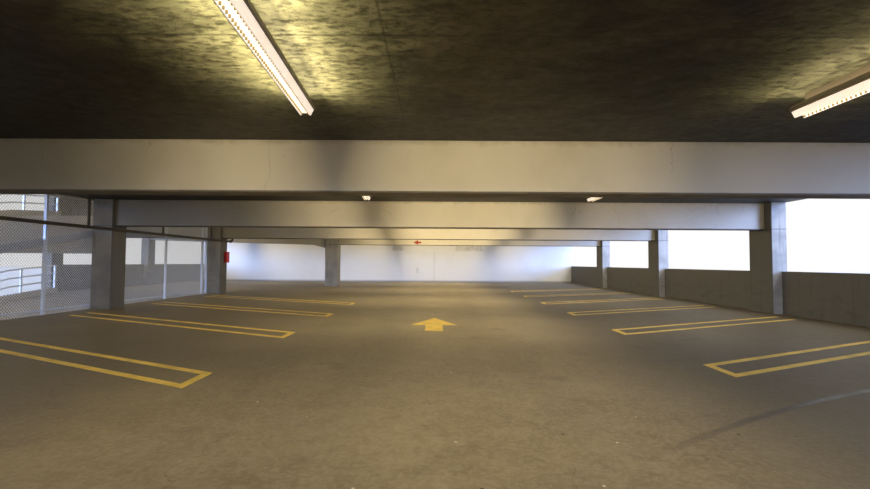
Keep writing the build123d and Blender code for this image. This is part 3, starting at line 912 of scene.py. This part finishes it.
class CARPARK_OT_lights(bpy.types.Operator):
    """Finish the strip lights, rib their lenses and light them"""

    bl_idname = "car_park.lights"
    bl_label = "Strip lights"

    def execute(self, context):
        lights = context.scene.car_park_lights
        # The housings' dark enamel is painted shade
        housing = enamelled_steel("housing_enamel_with_painted_shade", lights.enamel, 0.35, 0.25)
        acrylic = (
            lit_acrylic("bright_prismatic_acrylic", lights.core, 1.2),
            lit_acrylic("side_prismatic_acrylic", lights.side, 0.8),
            lit_acrylic("ribbed_prismatic_acrylic", lights.rib, 0.6),
        )
        for level in STOREYS:
            dress(housing, "light_housing", f"{level}_light_housings")
            node = f"{level}_light_lenses"
            bm = bmesh.new()
            for solid in solids_of(node):
                place, length, depth, half, foot = self.measure(solid)
                made = self.lens(bm, lights, length, depth, half, foot)
                bmesh.ops.transform(bm, matrix=place, verts=made)
                self.lamps(lights, place, length, depth, half)
            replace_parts(piece(put_mesh(f"{level}_ribbed_lenses", bm), *acrylic, slot="light_lens"), node)
        return {"FINISHED"}

    def measure(self, solid):
        """A lens: its own axes, its length and depth, and half its width at its top and at its foot."""
        ends = sorted(solid, key=lambda point: point.y)
        near, far = middle_of(ends[:4]), middle_of(ends[4:])
        along = (far - near).normalized()
        across = along.cross(Vector((0, 0, 1))).normalized()
        up = across.cross(along)
        place = Matrix.Translation((near + far) / 2) @ Matrix((across, along, up)).transposed().to_4x4()
        local = [place.inverted() @ point for point in solid]
        top = max(point.z for point in local)
        half = max(abs(point.x) for point in local if point.z > 0)
        foot = max(abs(point.x) for point in local if point.z < 0)
        return place, (far - near).length, 2 * top, half, foot

    def lens(self, bm, lights, length, depth, half, foot):
        """One lens, lying along Y: a shallow trough whose two lips have ribs across their inner sides."""
        bottom = -depth / 2
        inner = foot - lights.lip_width
        pan = bottom + lights.lip_height
        right = [(inner, pan), (inner, bottom), (foot, bottom), ((half + foot) / 2, 0.0), (half, depth / 2)]
        outline = [(-x, z) for x, z in reversed(right)] + right
        loops = [[bm.verts.new((x, y, z)) for x, z in outline] for y in (-length / 2, length / 2)]
        made = loops[0] + loops[1]
        faces = [bm.faces.new(loops[0]), bm.faces.new(loops[1])]
        middle = len(outline) // 2 - 1
        for i in range(len(outline)):
            j = (i + 1) % len(outline)
            face = bm.faces.new((loops[0][i], loops[0][j], loops[1][j], loops[1][i]))
            # The pan and the inner sides of the lips lie under the tube, and shine most
            face.material_index = 0 if abs(i - middle) < 2 else 1
            faces.append(face)
        # A rib takes 22 % of the pitch, reaches a quarter into its lip and stays 2 mm over the foot
        count = round(length / lights.rib_pitch)
        step = length / count
        for number in range(count):
            y = -length / 2 + (number + 0.5) * step
            for way in (-1, 1):
                xs = (way * (inner + lights.lip_width / 4), way * (inner - lights.rib_depth))
                ys = (y - 0.11 * step, y + 0.11 * step)
                verts, rib = self.bar(bm, xs, ys, (bottom + 0.002, pan + 0.002))
                made += verts
                faces += rib
        bmesh.ops.recalc_face_normals(bm, faces=faces)
        return made

    def bar(self, bm, xs, ys, zs):
        """One rib, a small block."""
        verts = [bm.verts.new((x, y, z)) for z in zs for y in ys for x in xs]
        sides = ((0, 1, 3, 2), (4, 5, 7, 6), (0, 1, 5, 4), (2, 3, 7, 6), (0, 2, 6, 4), (1, 3, 7, 5))
        faces = [bm.faces.new([verts[i] for i in side]) for side in sides]
        for face in faces:
            face.material_index = 2
        return verts, faces

    def lamps(self, lights, place, length, depth, half):
        """Puts the light of one fitting at both sides of its lens and over its housing."""
        power = lights.power
        if place.translation.y < FRAMES[1]:
            power *= lights.first_bay
        elif place.translation.y > FRAMES[3]:
            power *= lights.far_bays
        elif place.translation.y < FRAMES[2] and place.translation.x > AISLE_MIDDLE:
            power *= lights.dim_tube
        side = math.radians(90) - lights.tilt
        beside = 1.4 * half
        for width, spot, turn, share in (
            (depth, (-beside, 0.0, 0.0), side, 1.0),
            (depth, (beside, 0.0, 0.0), -side, 1.0),
            (4 * half, (0.0, 0.0, 1.65 * depth), math.radians(180), lights.upward),
        ):
            data = bpy.data.lights.new("strip_light", "AREA")
            data.shape = "RECTANGLE"
            data.size = width
            data.size_y = length
            data.energy = power * share
            data.color = lights.tube[:3]
            lamp = put("strip_light", data)
            lamp.matrix_world = place @ Matrix.Translation(spot) @ Matrix.Rotation(turn, 4, "Y")
            lamp.visible_camera = False
            lamp.visible_glossy = False


class CARPARK_OT_fittings(bpy.types.Operator):
    """Paint the pipe and the cabinets"""

    bl_idname = "car_park.fittings"
    bl_label = "Pipe and cabinets"

    def execute(self, context):
        finishes = context.scene.car_park_finishes
        pipe = enamelled_steel("painted_steel_pipe", finishes.pipe, 0.5, 0.4)
        dress(pipe, "pipe_paint", *(f"{level}_pipe_run" for level in STOREYS))
        red = enamelled_steel("red_baked_enamel", finishes.cabinet, 0.3, 0.15)
        dress(red, "cabinet_red", "extinguisher_cabinets")
        return {"FINISHED"}


class CARPARK_OT_markings(bpy.types.Operator):
    """Paint the stall marks and the arrows"""

    bl_idname = "car_park.markings"
    bl_label = "Markings"

    def execute(self, context):
        sizes = context.scene.car_park_markings
        finishes = context.scene.car_park_finishes
        yellow = road_paint("yellow_traffic_paint", sizes.yellow, finishes)
        red = road_paint("red_sign_paint", sizes.red, finishes)
        for level, floor in FLOOR.items():
            # The paint reaches half a millimetre into the concrete, so that no gap shows under it
            low, high = floor - 0.0005, floor + sizes.film
            self.stall_marks(level, sizes, low, high, yellow)
            bm = bmesh.new()
            tip = (AISLE_MIDDLE, FRAMES[3] - sizes.arrow_setback)
            outline = arrow(sizes.arrow_length, sizes.arrow_width, sizes.arrow_stem, tip, (0, 1))
            prism(bm, outline, low, high)
            piece(put_mesh(f"{level}_aisle_arrow", bm), yellow)
        for level in STOREYS:
            self.beam_arrow(level, sizes, red)
        return {"FINISHED"}

    def stall_marks(self, level, sizes, low, high, paint):
        """Paints one storey's stall marks, on the ramp side along the fence and on the open side."""
        pitch = BAY / sizes.stalls_per_bay
        left_end = FENCE[1].x + sizes.hairpin_width
        right_end = PIERS[0].x - sizes.hairpin_width / 2
        bm = bmesh.new()
        for start, end, first, last, near in (
            (sizes.aisle_left, left_end, FENCE[0].y, FENCE[1].y, FRAMES[1] + sizes.left_start),
            (sizes.aisle_right, right_end, PIERS[0].y, PIERS[1].y, FRAMES[1] + sizes.right_start),
        ):
            reach = abs(end - start) / math.tan(sizes.stall_angle) + sizes.hairpin_width
            middle = near - pitch * math.floor((near - first - sizes.hairpin_width) / pitch)
            while middle + reach < last:
                prism(bm, hairpin(sizes, start, end, middle), low, high)
                middle += pitch
        piece(put_mesh(f"{level}_stall_marks", bm), paint)

    def beam_arrow(self, level, sizes, paint):
        """Paints an arrow, drawn flat and then stood upright, on the face of one storey's last beam."""
        face = max(low.y for low, high in BEAMS)
        bm = bmesh.new()
        tip = (sizes.sign_tip, FLOOR[level] + SOFFIT + sizes.sign_height)
        prism(bm, arrow(sizes.sign_length, sizes.sign_width, sizes.sign_stem, tip, (-1, 0)), -0.001, 0.002)
        for vertex in bm.verts:
            x, z, out = vertex.co
            vertex.co = (x, face - out, z)
        bmesh.ops.recalc_face_normals(bm, faces=bm.faces[:])
        piece(put_mesh(f"{level}_beam_arrow", bm), paint)


class CARPARK_OT_stage(bpy.types.Operator):
    """Set the camera, the pale floor and the studio light"""

    bl_idname = "car_park.stage"
    bl_label = "Stage"

    def execute(self, context):
        stage = context.scene.car_park_stage
        context.scene.view_settings.view_transform = "Standard"
        self.camera(context, stage)
        self.floor(stage)
        self.sky(context, stage)
        self.suns(stage)
        return {"FINISHED"}

    def camera(self, context, stage):
        """The viewpoint: low in the aisle of the middle storey."""
        data = bpy.data.cameras.new("viewpoint")
        data.lens = stage.lens
        data.sensor_width = 36
        data.clip_start = 0.05
        data.clip_end = 2000
        camera = put("viewpoint", data)
        camera.location = stage.eye
        level = Euler((math.radians(90) + stage.pitch, 0, stage.turn)).to_matrix()
        camera.rotation_euler = (level @ Matrix.Rotation(stage.roll, 3, "Z")).to_euler()
        context.scene.camera = camera

    def floor(self, stage):
        """A plain pale floor under the building."""
        half = stage.floor_side / 2
        bm = bmesh.new()
        corners = ((-half, -half), (half, -half), (half, half), (-half, half))
        bm.faces.new([bm.verts.new((x, y, 0)) for x, y in corners])
        material, _, shader, _ = new_material("matt_studio_floor", 0.9)
        fill(shader.inputs["Base Color"], stage.floor_colour)
        made = put_mesh("studio_floor", bm)
        made.data.materials.append(material)

    def sky(self, context, stage):
        """An even sky: white where the camera and reflections see it, and a cool soft light elsewhere."""
        world = bpy.data.worlds.new("studio_sky")
        world.use_nodes = True
        context.scene.world = world
        tree = world.node_tree
        rays = add(tree, "LightPath").outputs
        seen = add(tree, "Math", rays["Is Camera Ray"], rays["Is Glossy Ray"], operation="MAXIMUM")
        seen = add(tree, "Math", seen, rays["Is Transmission Ray"], operation="MAXIMUM")
        colour = add(tree, "Mix", seen, stage.sky, (1.0, 1.0, 1.0, 1.0), **COLOUR)
        fill(tree.nodes["Background"].inputs["Color"], colour)
        tree.nodes["Background"].inputs["Strength"].default_value = 1.0

    def suns(self, stage):
        """A warm soft key light, and cool daylight that falls in low at both sides from the front.

        The daylight stands for bright walls near both sides. Each sun has its strength, its width in the
        sky, how far from straight down it shines, and its turn, all three in degrees.
        """
        warm = (1.0, 0.98, 0.95)
        cool = stage.daylight[:3]
        for name, strength, width, colour, drop, turn in (
            ("soft_key", stage.key_power, 25, warm, 48, 38),
            ("side_daylight", stage.open_side, 30, cool, 84, 40),
            ("side_daylight", stage.ramp_side, 30, cool, 84, -40),
        ):
            data = bpy.data.lights.new(name, "SUN")
            data.energy = strength
            data.angle = math.radians(width)
            data.color = colour
            put(name, data).rotation_euler = (math.radians(drop), 0, math.radians(turn))


class CARPARK_PT_panel(bpy.types.Panel):
    """The steps that dress the car park"""

    bl_label = "Car park"
    bl_idname = "CARPARK_PT_panel"
    bl_space_type = "VIEW_3D"
    bl_region_type = "UI"
    bl_category = "Car park"

    def draw(self, context):
        for group in GROUPS:
            box = self.layout.box()
            box.label(text=group.replace("_", " ").capitalize())
            values = getattr(context.scene, group)
            for name in values.bl_rna.properties.keys():
                if name not in ("rna_type", "name"):
                    box.prop(values, name)
        for operator in OPERATORS:
            self.layout.operator(operator.bl_idname)


GROUPS = {
    "car_park_finishes": CarParkFinishes,
    "car_park_markings": CarParkMarkings,
    "car_park_fence": CarParkFence,
    "car_park_lights": CarParkLights,
    "car_park_stage": CarParkStage,
}
OPERATORS = (
    CARPARK_OT_decks,
    CARPARK_OT_beams,
    CARPARK_OT_columns,
    CARPARK_OT_walls,
    CARPARK_OT_steel,
    CARPARK_OT_lights,
    CARPARK_OT_fittings,
    CARPARK_OT_markings,
    CARPARK_OT_stage,
)


def register():
    for name, group in GROUPS.items():
        bpy.utils.register_class(group)
        setattr(bpy.types.Scene, name, PointerProperty(type=group))
    for part in (*OPERATORS, CARPARK_PT_panel):
        bpy.utils.register_class(part)


def unregister():
    for part in reversed((*OPERATORS, CARPARK_PT_panel)):
        bpy.utils.unregister_class(part)
    for name, group in GROUPS.items():
        delattr(bpy.types.Scene, name)
        bpy.utils.unregister_class(group)


def main():
    register()
    bpy.ops.car_park.decks()
    bpy.ops.car_park.beams()
    bpy.ops.car_park.columns()
    bpy.ops.car_park.walls()
    bpy.ops.car_park.steel()
    bpy.ops.car_park.lights()
    bpy.ops.car_park.fittings()
    bpy.ops.car_park.markings()
    bpy.ops.car_park.stage()


if __name__ == "__main__":
    main()
